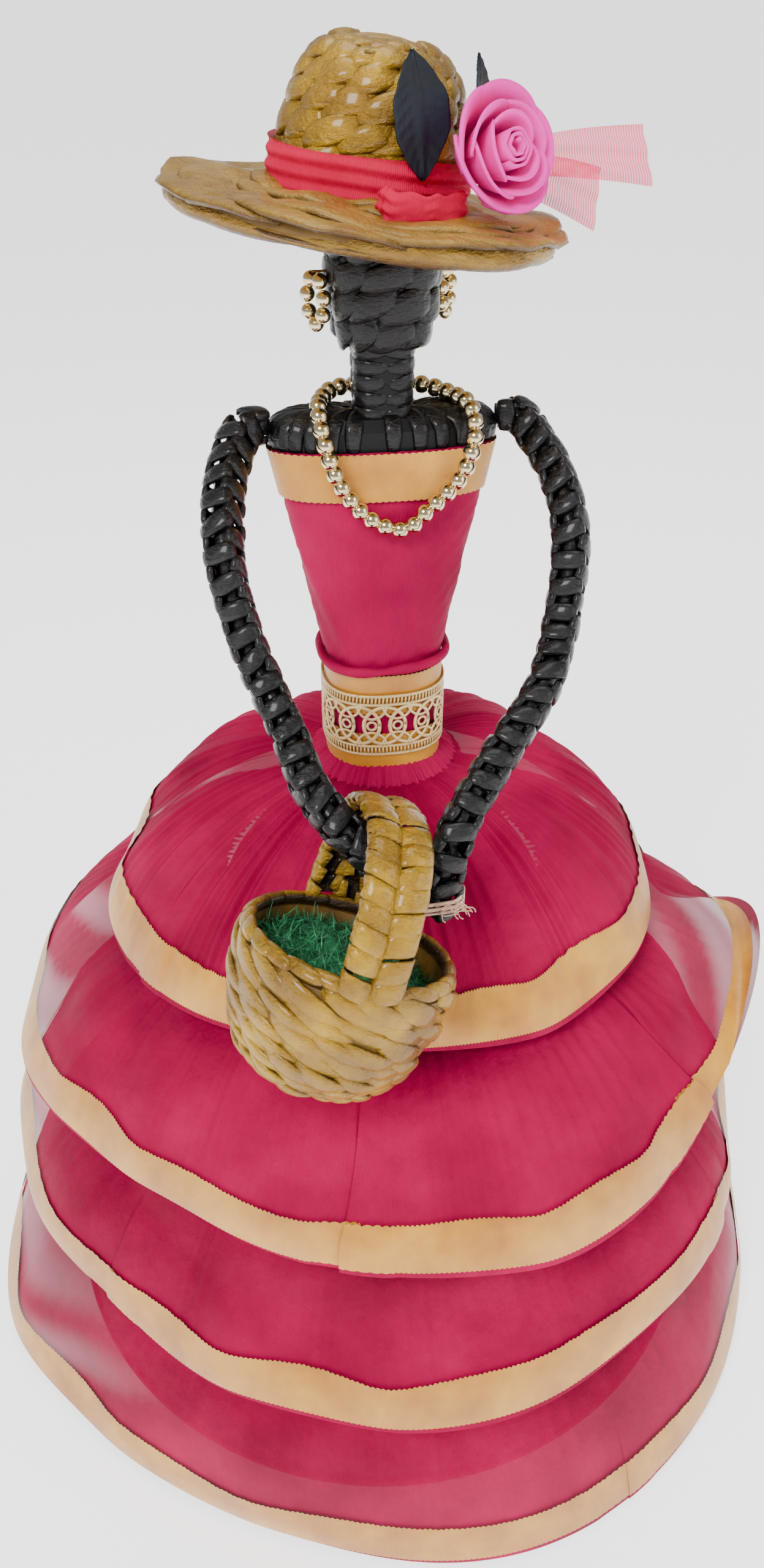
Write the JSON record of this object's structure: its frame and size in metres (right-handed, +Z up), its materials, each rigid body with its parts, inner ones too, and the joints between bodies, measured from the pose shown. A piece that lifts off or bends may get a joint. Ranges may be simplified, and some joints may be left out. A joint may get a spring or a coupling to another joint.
{
  "type": "papier-mache catrina figure",
  "caption": "Standing craft doll plaited from rolled paper, with a brimmed hat, tiered organza skirt, ribbon trim, bead jewellery and a basket hung on one forearm.",
  "frame": {"origin": "middle of the underside of the cardboard base disc, on the surface that the figure stands on", "axes": "+Z up along the body, -Y is the front that the hands and basket point to, +X is to the right seen from the front"},
  "size_m": [0.3536, 0.3555, 0.4945],
  "materials": {
    "cardboard": "matt kraft board",
    "raw_paper": "unpainted rolled newsprint, matt",
    "lining_cloth": "plain matt lining cloth",
    "organza": "sheer crisp organza in several layers",
    "satin_ribbon": "satin face, picot edges",
    "black_lacquer": "rolled paper under thick black gloss lacquer",
    "bodice_cloth": "fine plain-weave cloth, wrapped and glued",
    "metallic_lace": "openwork lace of pale gold lurex yarn",
    "thread": "wound metallic sewing thread",
    "gold_paper": "rolled paper, gold paint in varnish, dark grooves",
    "hat_organza": "organza strip, pleated",
    "sheer_organza": "single-layer sheer organza",
    "rose_foam": "moulded EVA foam sheet, suede-like",
    "leaf": "preserved leaf, waxy",
    "metallised_bead": "vacuum-metallised champagne gold",
    "wire": "thin brass wire",
    "moss": "dyed dried moss"
  },
  "bodies": {
    "figure": {"base_disc": "cardboard", "skirt_frame": "raw_paper", "skirt_lining": "lining_cloth", "tier_1": "organza", "tier_2": "organza", "tier_3": "organza", "tier_4": "organza", "hem_ribbon_1": "satin_ribbon", "hem_ribbon_2": "satin_ribbon", "hem_ribbon_3": "satin_ribbon", "hem_ribbon_4": "satin_ribbon", "torso_core": "black_lacquer", "bodice": "bodice_cloth", "bust_ribbon": "satin_ribbon", "waist_roll": "bodice_cloth", "waist_ribbon_upper": "satin_ribbon", "waist_ribbon_lower": "satin_ribbon", "waist_lace": "metallic_lace", "shoulder_yoke": "black_lacquer", "neck": "black_lacquer", "head": "black_lacquer", "arm_left": "black_lacquer", "arm_right": "black_lacquer", "wrist_thread": "thread", "hat_crown": "gold_paper", "hat_brim": "gold_paper", "hat_band": "hat_organza", "bow_loop": "hat_organza", "ribbon_tails": "sheer_organza", "rose_petals": "rose_foam", "rose_heart": "rose_foam", "leaf_front": "leaf", "leaf_back": "leaf", "earring_hook_left": "wire", "earring_hook_right": "wire"},
    "basket": {"basket_body": "gold_paper", "basket_rim": "gold_paper", "basket_handle": "gold_paper", "basket_moss": "moss"},
    "necklace": {"necklace_beads": "metallised_bead", "necklace_thread": "thread"},
    "earring_left": {"earring_left": "metallised_bead"},
    "earring_right": {"earring_right": "metallised_bead"}
  },
  "joints": [
    {"name": "basket_swing", "type": "hinge", "parent": "figure", "child": "basket", "pos_m": [-0.024, -0.1, 0.2935], "axis": [-0.6865, 0.4322, 0.5848], "range_deg": [0, 14]},
    {"name": "necklace_lift", "type": "hinge", "parent": "figure", "child": "necklace", "pos_m": [0, 0.0123, 0.3963], "axis": [-1, 0, 0], "range_deg": [0, 20]},
    {"name": "earring_left_swing", "type": "hinge", "parent": "figure", "child": "earring_left", "pos_m": [-0.02113, -0.004, 0.435], "axis": [1, 0, 0], "range_deg": [-20, 20]},
    {"name": "earring_right_swing", "type": "hinge", "parent": "figure", "child": "earring_right", "pos_m": [0.02113, 0.006, 0.435], "axis": [1, 0, 0], "range_deg": [-20, 20]}
  ]
}
